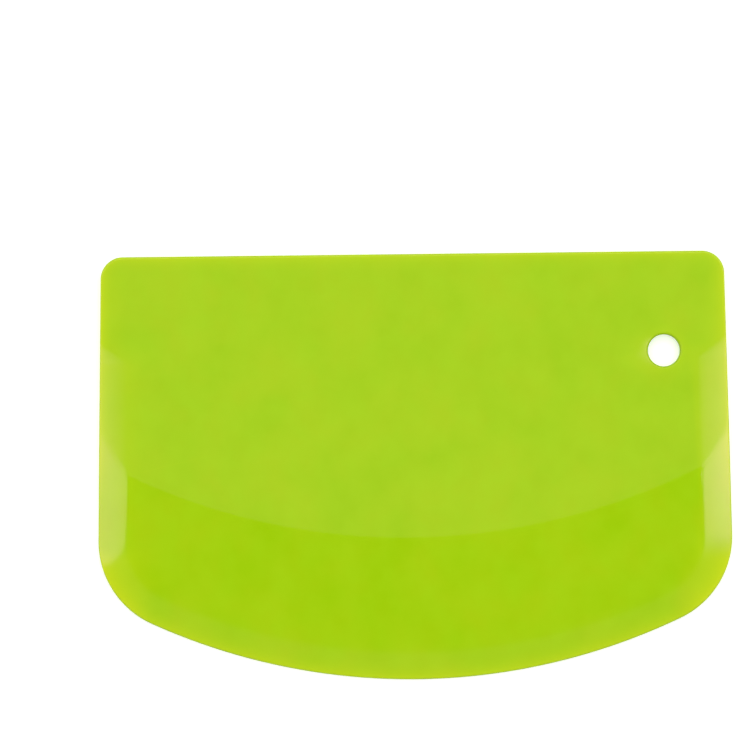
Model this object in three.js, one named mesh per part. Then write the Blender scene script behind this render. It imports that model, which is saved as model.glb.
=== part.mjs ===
// Dough scraper: a flexible one-piece plate with a straight grip edge, a curved blade and a hanging hole.
// Millimetres. The plate lies on its flat back, front up (+Z), with the grip edge to +Y and the blade to -Y.
// The origin is on the back, under the middle of the plate's box.

import * as THREE from 'three';

// Outline, seen from the front
const plateWidth = 120; // at its widest, across the blade corners
const plateHeight = 80.6; // from the grip edge to the lowest point of the blade
const sideLean = 1.2; // degrees that each side leans in towards the grip edge
const gripCornerRadius = 4.2;
const bladeCornerRadius = 17;
const bladeRadius = 119;

// Thickness, and the ridge below which the plate thins to the blade's edge
const gripThickness = 2.5;
const bladeEdgeThickness = 0.8; // at the middle of the blade, before the edge is rounded
const ridgeSetback = 26.9; // from the lowest point of the blade up to the ridge
const ridgeRadius = 122.8;

// Shallow bevel along the sides, the blade corners and the blade's edge
const bevelWidth = 5.6;
const gripBevelDrop = 0.16; // lost at the side, above the ridge
const gripBevelCurve = 1.15; // power of the fall; above 1 it steepens towards the edge
const bladeBevelDrop = 0.38; // lost at the edge, below the ridge
const bladeBevelCurve = 1.25;
const bevelStart = 16; // from the grip edge down to where the side bevel begins
const bevelRunIn = 4; // length over which the side bevel widens to its full width

// Hanging hole
const holeDiameter = 6;
const holeFromGripEdge = 18.8;
const holeFromSide = 12.6; // from the plate's widest line

// Rounded edges
const frontRounding = 0.5;
const backRounding = 0.4;
const holeRounding = 0.5;
const frontRoundingShare = 0.5; // the most of the edge's thickness that the front rounding takes
const backRoundingShare = 0.3; // the most of the edge's thickness that the back rounding takes

// Facets
const sideSteps = 12;
const gripEdgeSteps = 14;
const gripCornerSteps = 6;
const bladeCornerSteps = 12;
const bladeSteps = 40;
const edgeRoundingSteps = 4;
const holeRoundingSteps = 2;
const facetSpacing = 0.1; // least share of a face between two lines of facets

const mouldedPlastic = new THREE.MeshStandardMaterial({ color: 0xa8d316, roughness: 0.28, metalness: 0 });

// Places that follow from the sizes
const gripLine = plateHeight / 2;
const bladeTip = -plateHeight / 2;
const bladeSlope = (gripThickness - bladeBevelDrop - bladeEdgeThickness) / ridgeSetback;
const ridgeCentre = new THREE.Vector2(0, bladeTip + ridgeSetback + ridgeRadius);
const holeRadius = holeDiameter / 2;
const holeCentre = new THREE.Vector2(plateWidth / 2 - holeFromSide, gripLine - holeFromGripEdge);

// The outline as tangent lines and arcs with their counts of facets, anticlockwise from the right side's foot
function outlinePieces() {
  const lean = THREE.MathUtils.degToRad(sideLean);
  const bladeCentreY = bladeTip + bladeRadius;
  const cornerX = plateWidth / 2 - bladeCornerRadius;
  const cornerY = bladeCentreY - Math.sqrt((bladeRadius - bladeCornerRadius) ** 2 - cornerX ** 2);
  const cornerTurn = Math.atan2(cornerY - bladeCentreY, cornerX);
  const gripY = gripLine - gripCornerRadius;
  const leanedIn = (gripY - cornerY) * Math.sin(lean);
  const gripX = cornerX + (bladeCornerRadius - gripCornerRadius - leanedIn) / Math.cos(lean);

  const arc = (x, y, radius, from, to) => new THREE.EllipseCurve(x, y, radius, radius, from, to);
  const line = (before, after) => new THREE.LineCurve(before.getPoint(1), after.getPoint(0));
  const gripRight = arc(gripX, gripY, gripCornerRadius, lean, Math.PI / 2);
  const gripLeft = arc(-gripX, gripY, gripCornerRadius, Math.PI / 2, Math.PI - lean);
  const bladeLeft = arc(-cornerX, cornerY, bladeCornerRadius, Math.PI - lean, Math.PI - cornerTurn);
  const blade = arc(0, bladeCentreY, bladeRadius, -Math.PI - cornerTurn, cornerTurn);
  const bladeRight = arc(cornerX, cornerY, bladeCornerRadius, cornerTurn, lean);
  return [
    [line(bladeRight, gripRight), sideSteps],
    [gripRight, gripCornerSteps],
    [line(gripRight, gripLeft), gripEdgeSteps],
    [gripLeft, gripCornerSteps],
    [line(gripLeft, bladeLeft), sideSteps],
    [bladeLeft, bladeCornerSteps],
    [blade, bladeSteps],
    [bladeRight, bladeCornerSteps],
  ];
}

// How far a bevel of the given width has come at an inset from the outline: 0 at its inner line, 1 at most
function bevelShare(width, inset) {
  return Math.max(0, width - inset) / bevelWidth;
}

// Height of the front above the ridge: flat, less the bevel along the side
function gripHeight(inset, width) {
  return gripThickness - gripBevelDrop * bevelShare(width, inset) ** gripBevelCurve;
}

// Height of the front below the ridge: a cone about the ridge's centre, less the bevel along the outline
function bladeHeight(place, inset) {
  const belowRidge = place.distanceTo(ridgeCentre) - ridgeRadius;
  const bevel = bladeBevelDrop * bevelShare(bevelWidth, inset) ** bladeBevelCurve;
  return gripThickness - bladeSlope * belowRidge - bevel;
}

// A station on the outline: its point, the directions square to the outline and away from the hole,
// the width of the side bevel, the inset of the bevel's inner line and the radii of the rounded edges
function station(edge, along) {
  const inward = new THREE.Vector2(-along.y, along.x);
  const fromHole = edge.clone().sub(holeCentre).normalize();
  const run = (gripLine - bevelStart - edge.y) / bevelRunIn;
  const bevel = bevelWidth * THREE.MathUtils.clamp(run, 0, 1);
  const thickness = Math.min(gripHeight(0, bevel), bladeHeight(edge, 0));
  const front = Math.min(frontRounding, frontRoundingShare * thickness);
  const back = Math.min(backRounding, backRoundingShare * thickness);
  const bevelLine = Math.max(bevel, (front + gripCornerRadius) / 2);
  return { edge, inward, fromHole, bevel, bevelLine, front, back };
}

// Stations spaced evenly along each piece of the outline
function stations() {
  return outlinePieces().flatMap(([curve, steps]) => {
    const shares = Array.from({ length: steps }, (_, step) => step / steps);
    return shares.map((share) => station(curve.getPoint(share), curve.getTangent(share)));
  });
}

const insetPoint = (at, inset) => at.edge.clone().addScaledVector(at.inward, inset);
const holePoint = (at, distance) => holeCentre.clone().addScaledVector(at.fromHole, distance);
const raised = (place, height) => new THREE.Vector3(place.x, place.y, height);

// A rounded edge from its wall to its face: distances from both, as shares of its radius
function quarterRound(steps) {
  return Array.from({ length: steps + 1 }, (_, step) => {
    const turn = ((step / steps) * Math.PI) / 2;
    return [1 - Math.cos(turn), 1 - Math.sin(turn)];
  });
}

// The hole's rounded rim, from its wall to the plate's face
function holeRim(at) {
  return quarterRound(holeRoundingSteps).map(([fromWall, fromFace]) => ({
    place: holePoint(at, holeRadius + holeRounding * fromWall),
    depth: holeRounding * fromFace,
  }));
}

// The plate's rounded outer edge, from its wall to the plate's face
function outerRim(at, radius) {
  return quarterRound(edgeRoundingSteps).map(([fromWall, fromFace]) => ({
    place: insetPoint(at, radius * fromWall),
    depth: radius * fromFace,
  }));
}

// The way over the front: 0 at the rounded edge, 1 at the bevel's inner line and 2 at the hole's rim
function overFront(at, way) {
  const inset = THREE.MathUtils.lerp(at.front, at.bevelLine, Math.min(way, 1));
  const place = insetPoint(at, inset).lerp(holePoint(at, holeRadius + holeRounding), Math.max(way - 1, 0));
  const grip = gripHeight(inset, at.bevel);
  const blade = bladeHeight(place, inset);
  return { point: raised(place, Math.min(grip, blade)), onBlade: blade < grip };
}

// Where the way over the front crosses the ridge, by halving; the bevel's middle if it stays above
function ridgeWay(at) {
  const ends = { blade: facetSpacing, grip: 2 };
  if (!overFront(at, ends.blade).onBlade) {
    return 0.5;
  }
  while (ends.grip - ends.blade > facetSpacing ** 3) {
    const middle = (ends.blade + ends.grip) / 2;
    ends[overFront(at, middle).onBlade ? 'blade' : 'grip'] = middle;
  }
  return Math.abs(ends.grip - 1) < facetSpacing ? 1 - facetSpacing : ends.grip;
}

// A closed section: down the hole's wall, out along the back, up the outer edge and in over the front
function section(at) {
  const backHole = holeRim(at).map(({ place, depth }) => raised(place, depth));
  const backEdge = outerRim(at, at.back).map(({ place, depth }) => raised(place, depth));
  const backMiddle = backHole.at(-1).clone().lerp(backEdge.at(-1), 0.5);
  const edgeHeight = overFront(at, 0).point.z;
  const frontEdge = outerRim(at, at.front).map(({ place, depth }) => raised(place, edgeHeight - depth));
  const [outerLine, innerLine] = [1, ridgeWay(at)].sort((a, b) => a - b);
  const ways = [outerLine / 2, outerLine, innerLine, (innerLine + 2) / 2];
  const lines = ways.map((way) => overFront(at, way).point);
  const frontHole = holeRim(at).map(({ place, depth }) => raised(place, gripThickness - depth));
  return [...backHole, backMiddle, ...backEdge.reverse(), ...frontEdge, ...lines, ...frontHole.reverse()];
}

// A closed skin over a ring of closed sections
function loft(sections) {
  const around = sections.length;
  const along = sections[0].length;
  const corner = (ring, step) => (ring % around) * along + (step % along);
  const index = [];
  for (let ring = 0; ring < around; ring += 1) {
    for (let step = 0; step < along; step += 1) {
      index.push(corner(ring, step), corner(ring + 1, step), corner(ring + 1, step + 1));
      index.push(corner(ring, step), corner(ring + 1, step + 1), corner(ring, step + 1));
    }
  }
  const geometry = new THREE.BufferGeometry().setFromPoints(sections.flat());
  geometry.setIndex(index);
  geometry.computeVertexNormals();
  return geometry;
}

const scraper = new THREE.Mesh(loft(stations().map(section)), mouldedPlastic);
scraper.name = 'scraper';

const doughScraper = new THREE.Group();
doughScraper.add(scraper);

export default doughScraper;
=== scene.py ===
# %% [markdown]
# This script dresses a dough scraper: one plate of bright green moulded plastic, with a straight
# edge for the hand and a long curved blade for the dough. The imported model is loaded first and
# stays fixed, because every surface below takes its place from it. All lengths are in metres. The
# plate lies on its back, front up, with the grip edge towards +Y and the blade towards -Y.

import bpy
import numpy as np
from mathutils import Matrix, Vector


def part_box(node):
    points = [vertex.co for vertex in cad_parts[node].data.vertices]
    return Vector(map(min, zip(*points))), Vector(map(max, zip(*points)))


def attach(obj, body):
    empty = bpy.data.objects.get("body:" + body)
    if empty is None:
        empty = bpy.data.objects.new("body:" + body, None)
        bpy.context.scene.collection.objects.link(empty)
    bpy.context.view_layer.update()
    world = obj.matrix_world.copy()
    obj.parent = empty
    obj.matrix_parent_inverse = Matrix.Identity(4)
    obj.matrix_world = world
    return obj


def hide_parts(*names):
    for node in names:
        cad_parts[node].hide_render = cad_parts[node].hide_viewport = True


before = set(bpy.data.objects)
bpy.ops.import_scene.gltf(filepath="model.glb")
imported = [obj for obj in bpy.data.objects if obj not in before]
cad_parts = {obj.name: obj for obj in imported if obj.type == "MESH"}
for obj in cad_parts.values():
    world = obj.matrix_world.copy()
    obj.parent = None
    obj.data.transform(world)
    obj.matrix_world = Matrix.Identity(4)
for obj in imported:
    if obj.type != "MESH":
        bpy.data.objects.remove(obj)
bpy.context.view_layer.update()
plate_low, plate_high = (np.array(corner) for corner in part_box("scraper"))
plate_size = plate_high - plate_low
plate_width = plate_size[0]
grip_thickness = plate_size[2]
plate_middle = (plate_low + plate_high)[:2] / 2
print("plate in millimetres:", np.round(1000 * plate_size, 2))

# %% [markdown]
# The photograph looks straight at the front of the plate, so the camera hangs square above it. A
# long lens from far away keeps the perspective as weak as it is there. The camera could be
# tracked to the plate's middle, but the plate sits low and right of the middle of the picture and
# is turned a little. So the camera is set from three measures in the picture instead: the plate's
# width and middle in pixels, and its turn. Blender's usual view transform pales strong colours,
# so the plain one is used.

# %% Camera square above the plate
picture_side = 750
plate_width_pixels = 634.9
plate_middle_pixel = np.array([414.6, 467.0])
plate_turn = np.radians(0.66)
camera_height = 0.70

metre_per_pixel = plate_width / plate_width_pixels
picture_width = picture_side * metre_per_pixel
camera_right = np.array([np.cos(plate_turn), -np.sin(plate_turn)])
camera_up = np.array([np.sin(plate_turn), np.cos(plate_turn)])
off_right, off_down = (plate_middle_pixel - picture_side / 2) * metre_per_pixel
camera_place = plate_middle - off_right * camera_right + off_down * camera_up

scene = bpy.context.scene
scene.view_settings.view_transform = "Standard"
camera_data = bpy.data.cameras.new("camera")
camera_data.sensor_width = 36.0
camera_data.lens = camera_data.sensor_width * (camera_height - grip_thickness) / picture_width
camera = bpy.data.objects.new("camera", camera_data)
camera.location = (*camera_place, camera_height)
camera.rotation_euler = (0.0, 0.0, -plate_turn)
scene.collection.objects.link(camera)
bpy.context.scene.camera = camera
print("lens in millimetres:", round(camera_data.lens, 1))

# %% [markdown]
# The outline of the plate is eight tangent pieces: the straight grip edge, two small grip
# corners, two sides that lean in a little, two wide blade corners and the blade's long arc. It
# could be a Bezier curve with handles, but a moulding tool is drawn with arcs, and arcs give the
# direction square to the edge for nothing. Each piece becomes two arrays: points on the edge, and
# unit directions from there into the plate.

# %% Outline of lines and arcs
side_lean = np.radians(1.2)
grip_corner = 0.0042
blade_corner = 0.017
blade_arc = 0.119
grip_line = plate_high[1]
blade_tip = plate_low[1]

side_steps = 120
grip_corner_steps = 26
grip_edge_steps = 150
blade_corner_steps = 56
blade_steps = 250


def directions(angles):
    """Unit vectors at the given angles: (cos a, sin a)."""
    return np.stack([np.cos(angles), np.sin(angles)], axis=-1)


def arc(centre, radius, start, end, steps):
    """Points c + r (cos a, sin a), with a from start towards end; inward is -(cos a, sin a)."""
    out = directions(np.linspace(start, end, steps, endpoint=False))
    return centre + radius * out, -out


def straight(start, end, steps):
    """Points from start up to, not including, end; inward is the run turned a quarter turn left."""
    share = np.linspace(0.0, 1.0, steps, endpoint=False)[:, None]
    run = (end - start) / np.linalg.norm(end - start)
    return start + share * (end - start), np.tile([-run[1], run[0]], (steps, 1))


def outline():
    """Points and inward directions of the eight pieces, anticlockwise from the right side.

    Each corner's arc touches its two neighbours, which gives the places of the arcs' centres.
    """
    blade_centre = np.array([0.0, blade_tip + blade_arc])
    corner_x = plate_width / 2 - blade_corner
    corner_y = blade_centre[1] - np.sqrt((blade_arc - blade_corner) ** 2 - corner_x**2)
    corner_turn = np.arctan2(corner_y - blade_centre[1], corner_x)
    grip_y = grip_line - grip_corner
    leaned_in = (grip_y - corner_y) * np.sin(side_lean)
    grip_x = corner_x + (blade_corner - grip_corner - leaned_in) / np.cos(side_lean)
    grip_right = np.array([grip_x, grip_y])
    grip_left = np.array([-grip_x, grip_y])
    foot_right = np.array([corner_x, corner_y])
    foot_left = np.array([-corner_x, corner_y])

    out_right = directions(side_lean)
    out_left = directions(np.pi - side_lean)
    upward = np.array([0.0, grip_corner])
    right_side = [foot_right + blade_corner * out_right, grip_right + grip_corner * out_right]
    grip_edge = [grip_right + upward, grip_left + upward]
    left_side = [grip_left + grip_corner * out_left, foot_left + blade_corner * out_left]
    pieces = [
        straight(*right_side, side_steps),
        arc(grip_right, grip_corner, side_lean, np.pi / 2, grip_corner_steps),
        straight(*grip_edge, grip_edge_steps),
        arc(grip_left, grip_corner, np.pi / 2, np.pi - side_lean, grip_corner_steps),
        straight(*left_side, side_steps),
        arc(foot_left, blade_corner, np.pi - side_lean, np.pi - corner_turn, blade_corner_steps),
        arc(blade_centre, blade_arc, -np.pi - corner_turn, corner_turn, blade_steps),
        arc(foot_right, blade_corner, corner_turn, side_lean, blade_corner_steps),
    ]
    return (np.concatenate(arrays) for arrays in zip(*pieces))


edge, inward = outline()
print("stations round the outline:", len(edge))

# %% [markdown]
# The front isn't one flat face. Above the ridge it is level. Below the ridge it falls like a cone
# about the ridge's centre, so that the plate thins towards the blade. A shallow bevel runs along
# the sides and the blade, steeper below the ridge than above it, and it catches the side lights.
# Blender could bevel and cut a solid into this, but a formula for the height keeps the creases
# exactly where they belong, and lets each crease be as soft as a moulded one.

# %% Height of the front
ridge_setback = 0.0269
ridge_radius = 0.1228
ridge_softness = 0.0009
side_sharpening = 0.7
sharp_reach = plate_width / 2.1
blade_edge_thickness = 0.0008
bevel_width = 0.0056
side_softness = 0.0001
blade_softness = 0.0010
grip_bevel_drop = 0.00016
grip_bevel_curve = 1.15
blade_bevel_drop = 0.00038
blade_bevel_curve = 1.25
bevel_start = 0.016
bevel_run_in = 0.004

ridge_centre = np.array([0.0, blade_tip + ridge_setback + ridge_radius])
blade_slope = (grip_thickness - blade_bevel_drop - blade_edge_thickness) / ridge_setback
run_in = (grip_line - bevel_start - edge[:, 1:]) / bevel_run_in
side_bevel = bevel_width * np.clip(run_in, 0.0, 1.0)
on_blade = np.clip(inward[:, 1:], 0.0, 1.0)
bevel_softness = side_softness + (blade_softness - side_softness) * on_blade


def soft_positive(value, softness):
    """max(0, value) with its corner rounded: (v + sqrt(v^2 + s^2)) / 2."""
    return (value + np.sqrt(value**2 + softness**2)) / 2


def below_ridge(place):
    """Distance below the ridge: distance from the ridge's centre, less its radius."""
    return np.linalg.norm(place - ridge_centre, axis=-1) - ridge_radius


def bevel_share(width, inset):
    """How far a bevel has come: (width - inset) / bevel_width, never below 0."""
    return soft_positive(width - inset, bevel_softness) / bevel_width


def front_height(place, inset):
    """The lower of two blended surfaces: the level grip and the blade's cone, less their bevels.

    The ridge where they meet is sharper towards the sides.
    """
    grip = -grip_bevel_drop * bevel_share(side_bevel, inset) ** grip_bevel_curve
    bevel = blade_bevel_drop * bevel_share(bevel_width, inset) ** blade_bevel_curve
    blade = -blade_slope * below_ridge(place) - bevel
    sideways = np.minimum(1.0, (place[..., 0] / sharp_reach) ** 2)
    softness = ridge_softness * (1 - side_sharpening * sideways)
    return grip_thickness + grip - soft_positive(grip - blade, blade_slope * softness)


edge_thickness = front_height(edge[:, None], 0.0)
thickness_range = np.array([edge_thickness.min(), edge_thickness.max()])
print("edge thickness in millimetres:", np.round(1000 * thickness_range, 2))

# %% [markdown]
# The scraper hangs on a hook by a small round hole near one grip corner. A boolean could cut it,
# but that would leave long thin faces in the glossy front, and gloss shows them. So the hole is
# laid out first, as rounded rims, and the front is spanned between it and the outline. Every
# station on the outline looks at its own point on the rim. The outer edges are rounded as well,
# more tightly on the sides, where the pale strips run right up to the edge. A high power of how
# far an edge faces sideways tells the sides from the rest.

# %% Hole and rounded edges
hole_radius = 0.003
hole_from_side = 0.0126
hole_from_grip_edge = 0.0188
hole_rounding = 0.0005
hole_rim_rows = 9
front_edge_radius = 0.0005
side_edge_radius = 0.0002
back_edge_radius = 0.0004
front_thickness_share = 0.5
back_thickness_share = 0.3
side_power = 8

hole_centre = np.array([plate_width / 2 - hole_from_side, grip_line - hole_from_grip_edge])
on_side = np.abs(inward[:, :1]) ** side_power
edge_radius = front_edge_radius + (side_edge_radius - front_edge_radius) * on_side
front_rounding = np.minimum(edge_radius, front_thickness_share * edge_thickness)
back_rounding = np.minimum(back_edge_radius, back_thickness_share * edge_thickness)


def quarter_round(rows):
    """A quarter circle from a wall to a face: 1 - cos a from the wall, 1 - sin a from the face."""
    turn = np.linspace(0.0, np.pi / 2, rows)
    return 1 - np.cos(turn), 1 - np.sin(turn)


def hole_directions():
    """Half way between the angle that looks at each station and an even turn round the hole."""
    sight = edge - hole_centre
    looking = np.unwrap(np.arctan2(sight[:, 1], sight[:, 0]))
    even = np.linspace(0.0, 2 * np.pi, len(edge), endpoint=False)
    return directions((looking + even + np.mean(looking - even)) / 2)


def hole_rim():
    """Places on the hole's rounded rim, from wall to face, and their depths under the face."""
    from_wall, from_face = quarter_round(hole_rim_rows)
    distance = hole_radius + hole_rounding * from_wall
    place = hole_centre + hole_directions()[:, None] * distance[:, None]
    return place, hole_rounding * from_face


rim_place, rim_depth = hole_rim()
print("hole in millimetres:", 2000 * hole_radius, "at", np.round(1000 * hole_centre, 1))

# %% [markdown]
# The front is the face that shows, and its gloss gives away every uneven row of points. The rows
# are spread along lines that start square to the outline, cross the bevel and then run straight
# to the hole. An even grid would need far more faces for the same shine, so the rows are crowded
# where the front turns: over the bevel and on both sides of the ridge.

# %% Rows of points over the front
bevel_rows = 17
near_rows = 12
ridge_rows = 18
far_rows = 16
ridge_crowding = 0.004
level_share = 0.4
least_share = 0.05
most_share = 0.9


def rising(rows):
    """Even shares of a way, from 1 / rows up to 1."""
    return np.linspace(0.0, 1.0, rows + 1)[1:]


def from_edge(inset):
    """Places that lie the given distances inside the outline, square to it."""
    return edge[:, None] + inward[:, None] * inset[..., None]


def ridge_share(start, end):
    """Share of the way where |start + share (end - start) - ridge centre| is the ridge's radius.

    A way that stays above the ridge gets a fixed share instead.
    """
    way = end - start
    offset = start - ridge_centre
    a = np.sum(way * way, axis=-1)
    b = np.sum(way * offset, axis=-1)
    c = np.sum(offset * offset, axis=-1) - ridge_radius**2
    share = (-b - np.sqrt(np.maximum(b * b - a * c, 0.0))) / a
    return np.where((c > 0.0) & (share > 0.0), share, level_share)


def front_face():
    """Places and insets: even over the bevel, then on to the hole, crowded round the ridge."""
    bevel_line = np.maximum(side_bevel, (front_rounding + grip_corner) / 2)
    bevel_inset = front_rounding + (bevel_line - front_rounding) * rising(bevel_rows)
    bevel_place = from_edge(bevel_inset)
    start = bevel_place[:, -1]
    end = rim_place[:, -1]
    reach = np.linalg.norm(end - start, axis=-1)[:, None]
    middle = np.clip(ridge_share(start, end), least_share, most_share)[:, None]
    half = np.minimum(ridge_crowding / reach, 0.5 * middle)
    near = middle - half
    far = middle + half
    share = np.concatenate([
        near * rising(near_rows),
        near + (far - near) * rising(ridge_rows),
        far + (1 - far) * rising(far_rows)[:-1],
    ], axis=1)
    inner_place = start[:, None] + share[..., None] * (end - start)[:, None]
    inner_inset = bevel_line + share * reach
    place = np.concatenate([bevel_place, inner_place], axis=1)
    return place, np.concatenate([bevel_inset, inner_inset], axis=1)


front_place, front_inset = front_face()
print("rows over the front:", front_place.shape[1])

# %% [markdown]
# A plate with one hole is a ring, so its whole skin can be one closed grid with no pole and no
# seam. One parameter goes round the outline. The other goes round a section: down the hole's
# wall, out along the back, up over the rounded edge and in over the front to the hole again. A
# front, a back and rims could be made one by one and joined, but gloss would show each join.

# %% The whole skin as one closed grid
back_rows = 11
back_edge_rows = 7
front_edge_rows = 11


def raise_up(place, height):
    """Puts a height array on top of an array of flat places."""
    return np.concatenate([place, np.broadcast_to(height, place.shape[:-1])[..., None]], axis=-1)


def skin():
    """Sections end to end: hole wall, back, back edge, front edge, front, hole wall again."""
    back_hole = raise_up(rim_place, rim_depth)
    across, up = quarter_round(back_edge_rows)
    back_edge = raise_up(from_edge(back_rounding * across), back_rounding * up)[:, ::-1]
    share = rising(back_rows)[:-1, None]
    back_face = back_hole[:, -1:] + share * (back_edge[:, :1] - back_hole[:, -1:])
    across, up = quarter_round(front_edge_rows)
    rim_height = front_height(from_edge(front_rounding), front_rounding)
    front_edge = raise_up(from_edge(front_rounding * across), rim_height - front_rounding * up)
    front = raise_up(front_place, front_height(front_place, front_inset))
    front_hole = raise_up(rim_place, grip_thickness - rim_depth)[:, ::-1]
    return np.concatenate([back_hole, back_face, back_edge, front_edge, front, front_hole], axis=1)


plate_points = skin()
print("grid of the skin:", plate_points.shape[:2])


# %% [markdown]
# The grid becomes a mesh in one go. It could be built point by point with bmesh, but whole arrays
# are quicker and keep the rule for the faces in sight. Every point has a neighbour to each side,
# and the last row joins the first in both directions, so four shifted copies of the point numbers
# are the corners of all the faces.

# %% Mesh from a closed grid
def closed_grid_mesh(name, points):
    """Quads between neighbours (i, j), (i+1, j), (i+1, j+1), (i, j+1), wrapping round both ways."""
    number = np.arange(points.shape[0] * points.shape[1]).reshape(points.shape[:2])
    next_station = np.roll(number, -1, axis=0)
    corners = [number, next_station, np.roll(next_station, -1, axis=1), np.roll(number, -1, axis=1)]
    quads = np.stack(corners, axis=-1).reshape(-1, 4)
    mesh = bpy.data.meshes.new(name)
    mesh.vertices.add(number.size)
    mesh.vertices.foreach_set("co", points.astype(np.float32).ravel())
    mesh.loops.add(quads.size)
    mesh.loops.foreach_set("vertex_index", quads.astype(np.int32).ravel())
    mesh.polygons.add(len(quads))
    mesh.polygons.foreach_set("loop_start", np.arange(0, quads.size, 4, dtype=np.int32))
    mesh.polygons.foreach_set("use_smooth", np.ones(len(quads), dtype=bool))
    mesh.update(calc_edges=True)
    mesh.validate()
    return mesh


plate_mesh = closed_grid_mesh("green_plate", plate_points)
plate = bpy.data.objects.new("green_plate", plate_mesh)
scene.collection.objects.link(plate)
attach(plate, "root")
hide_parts("scraper")
print("faces of the plate:", len(plate_mesh.polygons))

# %% [markdown]
# Light that enters a translucent plate leaves it again close to the edges, so the rim of such a
# plate looks paler and yellower than its middle, most of all at the thin blade corners.
# Subsurface scattering would show this too, but it needs many samples and blurs the ridge. Here
# the glow is painted light: a number at each point of the skin, worked out from the distance to
# the outline and to the hole, that blends in a paler green. A faint painted glow runs along the
# crease of the side bevel too.

# %% Painted glow of the edges
glow_reach = 0.0015
wider_at_corners = 1.1
narrower_at_grip = 0.35
edge_strength = 0.65
corner_gain = 0.3
side_gain = 0.12
side_loss = 1.4
most_below_ridge = 0.3
hole_strength = 0.26
crease_strength = 0.14
crease_inset = 0.0048
crease_reach = 0.003


def steepness_of(mesh):
    """1 - |z| of the normal at each point of the grid: 0 on the faces, 1 on the upright walls."""
    normals = np.empty(3 * len(mesh.vertices), dtype=np.float32)
    mesh.vertex_normals.foreach_get("vector", normals)
    return 1 - np.abs(normals.reshape(plate_points.shape)[..., 2])


def soft_step(value, low, high):
    """0 below low, 1 above high and the cubic 3 s^2 - 2 s^3 between them."""
    share = np.clip((value - low) / (high - low), 0.0, 1.0)
    return share**2 * (3 - 2 * share)


def outline_glow():
    """strength exp(-inset / reach), both larger at the blade corners; the sides fade downwards."""
    corner = soft_step(inward[:, 1:], 0.0, 0.3) * soft_step(np.abs(inward[:, :1]), 0.42, 0.75)
    on_grip = np.clip(-inward[:, 1:], 0.0, 1.0)
    low = np.clip(below_ridge(edge)[:, None] / ridge_setback, 0.0, most_below_ridge)
    side = (side_gain - side_loss * low) * on_side * (1 - corner)
    strength = edge_strength + corner_gain * corner + side
    reach = glow_reach * (1 + wider_at_corners * corner - narrower_at_grip * on_grip)
    return strength * np.exp(-edge_inset / reach) * (1 - steepness * (1 - on_side))


def crease_glow():
    """strength exp(-((inset - crease) / reach)^2) along the inner line of the side bevels."""
    strength = crease_strength * on_side * side_bevel / bevel_width
    return strength * np.exp(-(((edge_inset - crease_inset) / crease_reach) ** 2))


def hole_glow():
    """strength exp(-inset / reach) from the hole, on the faces but not on its wall."""
    return hole_strength * np.exp(-hole_inset / glow_reach) * (1 - steepness)


def add_layer(mesh, name, values):
    """Stores one number for each point of the mesh under this name."""
    layer = mesh.attributes.new(name, "FLOAT", "POINT")
    layer.data.foreach_set("value", values.astype(np.float32).ravel())


steepness = steepness_of(plate_mesh)
edge_inset = np.linalg.norm(plate_points[..., :2] - edge[:, None], axis=-1)
hole_inset = np.linalg.norm(plate_points[..., :2] - hole_centre, axis=-1) - hole_radius
painted_edge_glow = outline_glow() + crease_glow() + hole_glow()
add_layer(plate_mesh, "painted_edge_glow", painted_edge_glow)
print("highest glow:", painted_edge_glow.max().round(2))

# %% [markdown]
# Two more numbers belong to the skin. The upright walls get painted shade: they are painted a
# darker green, most of all in the hole. And the blade is the part that scrapes, so its skin is
# worn: 0 at the ridge and 1 at the blade's edge. Both could be painted on the mesh by hand, but a
# formula puts them exactly where the shape has them.

# %% Painted wall shade and wear of the skin
hole_wall_shade = 0.9
outer_wall_shade = 0.35


def painted_wall_shade():
    """Painted shade: steepness, less on the outer edges than in the hole and next to nothing on the
    sides.
    """
    outer = outer_wall_shade * np.abs(inward[:, 1:])
    return steepness * np.where(hole_inset < 2 * hole_rounding, hole_wall_shade, outer)


def blade_wear():
    """Share of the way from the ridge down to the blade's edge."""
    return np.clip(below_ridge(plate_points[..., :2]) / ridge_setback, 0.0, 1.0)


# painted shade on the upright walls and real wear on the blade, kept as layers of the mesh
add_layer(plate_mesh, "painted_wall_shade", painted_wall_shade())
add_layer(plate_mesh, "blade_wear", blade_wear())
print("highest wall depth and wear:", painted_wall_shade().max().round(2), blade_wear().max().round(2))


# %% [markdown]
# A material could be wired up node by node, but it is easier to read as a sum. This class wraps
# one socket, and its operators add Math nodes, so that 1 - mask or 0.2 + 0.1 * mask works as
# written. Every other node comes from its one method.

# %% Shader sums
class Signal:
    """One output socket of a node tree. Operators on it add Math nodes."""

    def __init__(self, tree, socket=None):
        self.tree = tree
        self.socket = socket

    def node(self, kind, settings, sockets, outlet=0):
        """A new node of this kind: its settings first, then the values or links of its sockets."""
        made = self.tree.nodes.new(kind)
        for key, value in settings.items():
            setattr(made, key, value)
        for key, value in sockets.items():
            if isinstance(value, Signal):
                self.tree.links.new(value.socket, made.inputs[key])
            else:
                made.inputs[key].default_value = value
        return Signal(self.tree, made.outputs[outlet] if made.outputs else None)

    def math(self, operation, first, second):
        """A Math node on two numbers, each of them plain or a signal."""
        return self.node("ShaderNodeMath", {"operation": operation}, {0: first, 1: second})

    def __add__(self, other):
        return self.math("ADD", self, other)

    __radd__ = __add__

    def __sub__(self, other):
        return self.math("SUBTRACT", self, other)

    def __rsub__(self, other):
        return self.math("SUBTRACT", other, self)

    def __mul__(self, other):
        return self.math("MULTIPLY", self, other)

    __rmul__ = __mul__


print("shader sums ready")


# %% [markdown]
# A few nodes come up again and again: a noise, a ramp between two limits, a blend of two colours.
# Node groups could hold them, but a function with a plain name is shorter, and leaves every node
# in sight.

# %% Nodes with plain names
def new_material(name):
    """An empty node material: returns the material and a signal to build from."""
    material = bpy.data.materials.new(name)
    material.use_nodes = True
    material.node_tree.nodes.clear()
    return material, Signal(material.node_tree)


def own_place(start):
    """The place of a point in the piece's own coordinates, in metres."""
    return start.node("ShaderNodeTexCoord", {}, {}, "Object")


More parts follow.
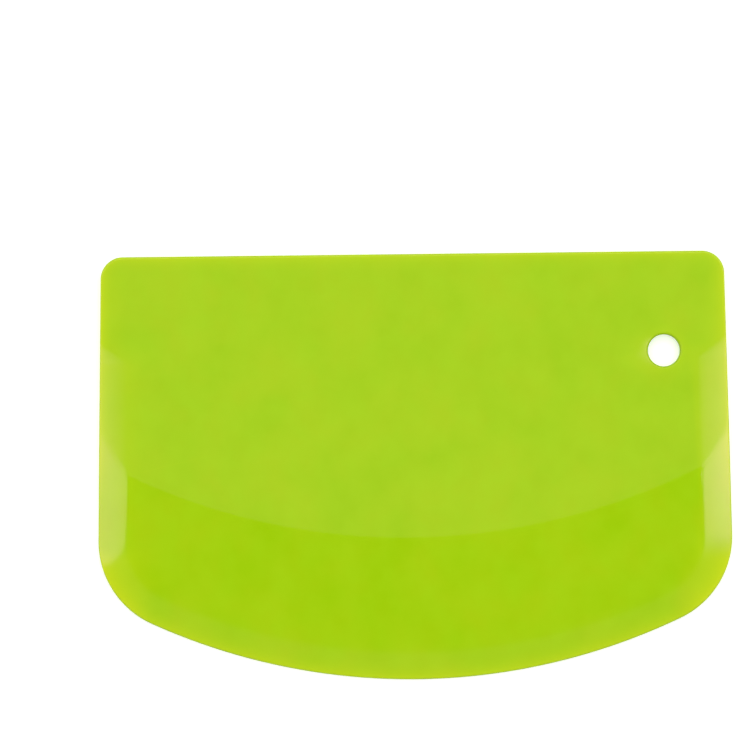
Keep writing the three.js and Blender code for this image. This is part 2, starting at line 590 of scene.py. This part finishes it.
def stored(start, layer):
    """The number that a layer of the mesh holds at a point."""
    return start.node("ShaderNodeAttribute", {"attribute_name": layer}, {}, "Fac")


def along_axis(vector, axis):
    """One of the three parts of a vector."""
    return vector.node("ShaderNodeSeparateXYZ", {}, {0: vector}, axis)


def stretched(place, scale):
    """A place with X and Y multiplied by two numbers, so that a noise in it is drawn out."""
    return place.node("ShaderNodeMapping", {}, {"Vector": place, "Scale": (*scale, 1.0)})


def noise(place, scale, detail):
    """Soft noise round 0.5, of so many waves to a unit of length, with finer waves on top."""
    return place.node("ShaderNodeTexNoise", {}, {"Vector": place, "Scale": scale, "Detail": detail})


def ramp(value, low, high, interpolation="SMOOTHSTEP"):
    """A signal that goes from 0 at low to 1 at high, with a soft start and end unless LINEAR."""
    limits = {"Value": value, "From Min": low, "From Max": high}
    return value.node("ShaderNodeMapRange", {"interpolation_type": interpolation}, limits)


def blend(share, first, second):
    """first + share (second - first) for colours, whose sockets on a Mix node are 6, 7 and 2."""
    return share.node("ShaderNodeMix", {"data_type": "RGBA"}, {0: share, 6: first, 7: second}, 2)


def bumped(height, strength, distance):
    """A normal that leans as if the surface stood up by height times distance."""
    relief = {"Height": height, "Strength": strength, "Distance": distance}
    return height.node("ShaderNodeBump", {}, relief, "Normal")


def surface(start, sockets):
    """Ends a material in a Principled shader with these sockets."""
    shader = start.node("ShaderNodeBsdfPrincipled", {}, sockets, "BSDF")
    start.node("ShaderNodeOutputMaterial", {}, {"Surface": shader})


print("plain names ready")

# %% [markdown]
# The plastic is a bright yellow green with a high gloss. On the real plate the pigment isn't
# stirred in perfectly, so the colour drifts between a greener and a yellower green in clouds a
# few millimetres wide. Fainter, paler clouds are drawn out a little by the flow of the melt from
# the grip edge to the blade. The mould leaves a very fine grain, and scraping leaves hairlines
# along the blade that dull the gloss a little. These could be painted by hand, but noise in the
# plate's own coordinates does it at any size: stretched a little along Y for the flow, and a lot
# along X for the hairlines. The reflections of the lights look yellowish on this plastic, and a
# tint on its reflection does that.

# %% Green moulded plastic
greener = (0.372, 0.659, 0.002, 1.0)
yellower = (0.426, 0.668, 0.005, 1.0)
paler = (0.414, 0.722, 0.008, 1.0)
# painted light: the paler green blended in where the rim is painted as glowing
painted_glow_green = (0.645, 0.795, 0.006, 1.0)
# painted shade: the darker green that the upright walls are painted
painted_shade_green = (0.28, 0.49, 0.003, 1.0)
reflection_tint = (1.0, 0.45, 0.6, 1.0)
flow_stretch = (205.0, 160.0)
hairline_stretch = (30.0, 3500.0)
flow_share = 0.5
smoothest = 0.05
dulled_by_clouds = 0.02
dulled_by_hairlines = 0.05


def green_plastic():
    """Clouded pigment, flow marks, painted rim glow and wall shade, blade hairlines, fine grain."""
    material, start = new_material("green_plastic")
    place = own_place(start)
    cloud = noise(place, scale=95.0, detail=4.0)
    flow = noise(stretched(place, flow_stretch), scale=1.0, detail=2.0)
    hairline = noise(stretched(place, hairline_stretch), scale=1.0, detail=3.0)
    grain = noise(place, scale=1500.0, detail=1.0)

    clouded = blend(ramp(cloud, 0.35, 0.65, "LINEAR"), greener, yellower)
    flowed = blend(flow_share * ramp(flow, 0.3, 0.7, "LINEAR"), clouded, paler)
    # painted glow: the rim, the hole's edge and the bevel crease are painted paler
    glowing = blend(stored(start, "painted_edge_glow"), flowed, painted_glow_green)
    # painted shade: the upright walls, most of all in the hole, are painted a darker green
    colour = blend(stored(start, "painted_wall_shade"), glowing, painted_shade_green)
    scratched = ramp(hairline, 0.66, 0.72, "LINEAR") * stored(start, "blade_wear")
    surface(start, {
        "Base Color": colour,
        "Roughness": smoothest + dulled_by_clouds * cloud + dulled_by_hairlines * scratched,
        "Normal": bumped(grain, strength=0.5, distance=2.0e-7),
        "IOR": 1.49,
        "Specular Tint": reflection_tint,
    })
    return material


plate_mesh.materials.append(green_plastic())
print("finish:", plate_mesh.materials[0].name)

# %% [markdown]
# The plate lies on white card that is lit until it is pure white in the picture. A sheet of card
# isn't perfectly even: its fibres make it a little lighter and darker, and a little rough. It
# could be lit by one more lamp from below, as a glass table is, but a weak glow of its own does
# the same and leaves the reflections in the plate alone.

# %% White card under the plate
floor_half = 1.5
floor_drop = 0.00005
floor_glow = 0.4
dark_fibre = (0.88, 0.88, 0.87, 1.0)
light_fibre = (0.92, 0.92, 0.92, 1.0)
white = (1.0, 1.0, 1.0, 1.0)


def floor_sheet():
    """A flat square sheet just under the plate."""
    corner = floor_half * np.array([[-1, -1], [1, -1], [1, 1], [-1, 1]])
    points = np.column_stack([corner, np.full(4, -floor_drop)])
    mesh = bpy.data.meshes.new("floor")
    mesh.from_pydata(points.tolist(), [], [(0, 1, 2, 3)])
    return mesh


def white_card():
    """White fibres, a little lighter and darker, that stand up a few hundredths of a millimetre."""
    material, start = new_material("white_card")
    fibre = noise(own_place(start), scale=900.0, detail=4.0)
    surface(start, {
        "Base Color": blend(fibre, dark_fibre, light_fibre),
        "Roughness": 0.85 + 0.1 * fibre,
        "Normal": bumped(fibre, strength=0.3, distance=3.0e-5),
        "Specular IOR Level": 0.0,
        "Emission Color": white,
        "Emission Strength": floor_glow,
    })
    return material


floor = bpy.data.objects.new("floor", floor_sheet())
floor.data.materials.append(white_card())
scene.collection.objects.link(floor)
print("floor side in metres:", 2 * floor_half)

# %% [markdown]
# The plate is lit as for a catalogue picture, with a softbox to each side and a large card above.
# Softboxes could be built as glowing sheets, but area lights give less noise. A real softbox
# isn't even: it is brighter on one side and ends in a soft or slanted edge. So a light can take a
# pattern, which gives its strength from the place on it.

# %% Flat lights
ellipse_share = np.pi / 4


def softbox(name, shape, size, place, radiance):
    """A flat light that faces straight down; its power is 4 times the radiance times the area."""
    data = bpy.data.lights.new(name, "AREA")
    data.shape = shape
    data.size, data.size_y = size
    area = data.size * data.size_y * (ellipse_share if shape == "ELLIPSE" else 1.0)
    data.energy = 4 * radiance * area
    light = bpy.data.objects.new(name, data)
    light.location = place
    scene.collection.objects.link(light)
    return light


def shaped_softbox(name, x_range, y_range, height, pattern):
    """A rectangular light whose radiance is a pattern of two distances, outwards and along Y."""
    size = np.ptp([x_range, y_range], axis=1)
    place = (np.mean(x_range), np.mean(y_range), height)
    light = softbox(name, "RECTANGLE", size, place, 1.0)
    light.data.use_nodes = True
    light.data.node_tree.nodes.clear()
    start = Signal(light.data.node_tree)
    point = start.node("ShaderNodeNewGeometry", {}, {}, "Position")
    outwards = along_axis(point, "X") * np.sign(place[0])
    strength = pattern(outwards, along_axis(point, "Y"))
    shine = start.node("ShaderNodeEmission", {}, {"Strength": strength}, "Emission")
    start.node("ShaderNodeOutputLight", {}, {"Surface": shine})


print("flat lights ready")

# %% [markdown]
# A glossy plate mostly shows its lights: the pale strip along each side is a softbox mirrored in
# the bevel, and the pale upper half is the card mirrored in the level grip. Below the ridge the
# plate looks past the card and shows the colour of the plastic. Even softboxes would give strips
# of one tone with hard ends. These fade at their inner edge, head and foot, as the strips do, and
# the right one is the brighter of the two. The patterns are in metres from the plate's middle.

# %% Softboxes and card
softbox_height = 0.75
slant_outwards = 0.588
slant_along = 0.809


def right_pattern(outwards, along):
    """Brighter outwards, fading at head and foot, with the inner edge further out low down."""
    upper = ramp(along, -0.075, -0.045)
    low_edge = ramp(outwards, 0.207, 0.227)
    high_edge = ramp(outwards, 0.136, 0.204)
    inner = low_edge + (high_edge - low_edge) * upper
    head = 1 - 0.4 * ramp(along, -0.03, 0.05)
    foot = ramp(along, -0.162, -0.090)
    level = 3.1 + 0.5 * upper + 2.0 * ramp(outwards, 0.235, 0.31)
    return level * inner * foot * head


def left_pattern(outwards, along):
    """As on the right, but dimmer and with a slanted foot."""
    upper = ramp(along, -0.075, -0.03)
    low_edge = ramp(outwards, 0.162, 0.202)
    high_edge = ramp(outwards, 0.139, 0.172)
    inner = low_edge + (high_edge - low_edge) * upper
    head = 1 - 0.5 * ramp(along, -0.03, 0.05)
    slanted = ramp(slant_outwards * outwards + slant_along * along, 0.022, 0.034)
    foot = slanted * ramp(along, -0.168, -0.152)
    level = 1.75 + 0.25 * upper + 1.0 * ramp(outwards, 0.20, 0.27)
    return level * inner * foot * head


shaped_softbox("right_softbox", (0.14, 0.36), (-0.16, 0.15), softbox_height, right_pattern)
shaped_softbox("left_softbox", (-0.34, -0.12), (-0.17, 0.155), softbox_height, left_pattern)
softbox("overhead_card", "ELLIPSE", size=(0.80, 0.98), place=(-0.03, 0.39, 0.95), radiance=0.42)

# %% [markdown]
# White cloth round the set lights the rest. It is darkest straight above, where the camera looks
# in through a gap. Round the gap it is brighter, and the bevel along the blade mirrors that. It is
# brightest further down, more so beyond the grip edge than beyond the blade, which shades the
# upper rim of the hole and the edge of the blade. Towards the floor it is dark again: that keeps
# the rounded edges green against the white floor instead of outlining them in white. An even
# white sky would be simpler, but then the ridge and the bevel would hardly show.

# %% Cloth tent round the set
gap_light = 0.05
round_gap_light = 0.37
cloth_light = 0.85
foot_light = 0.04

world = bpy.data.worlds.new("tent")
world.use_nodes = True
world.node_tree.nodes.clear()
sky = Signal(world.node_tree)
direction = sky.node("ShaderNodeTexCoord", {}, {}, "Generated")
upward = along_axis(direction, "Z")
beyond_grip = along_axis(direction, "Y")
high = gap_light + round_gap_light * ramp(upward, 0.985, 0.955)
low = (cloth_light + cloth_light * beyond_grip) * ramp(upward, 0.93, 0.84)
foot = foot_light + (1 - foot_light) * ramp(upward, 0.4, 0.62)
strength = (high + low) * foot
cloth = sky.node("ShaderNodeBackground", {}, {"Color": white, "Strength": strength}, "Background")
sky.node("ShaderNodeOutputWorld", {}, {"Surface": cloth})
scene.world = world
print("world:", scene.world.name)
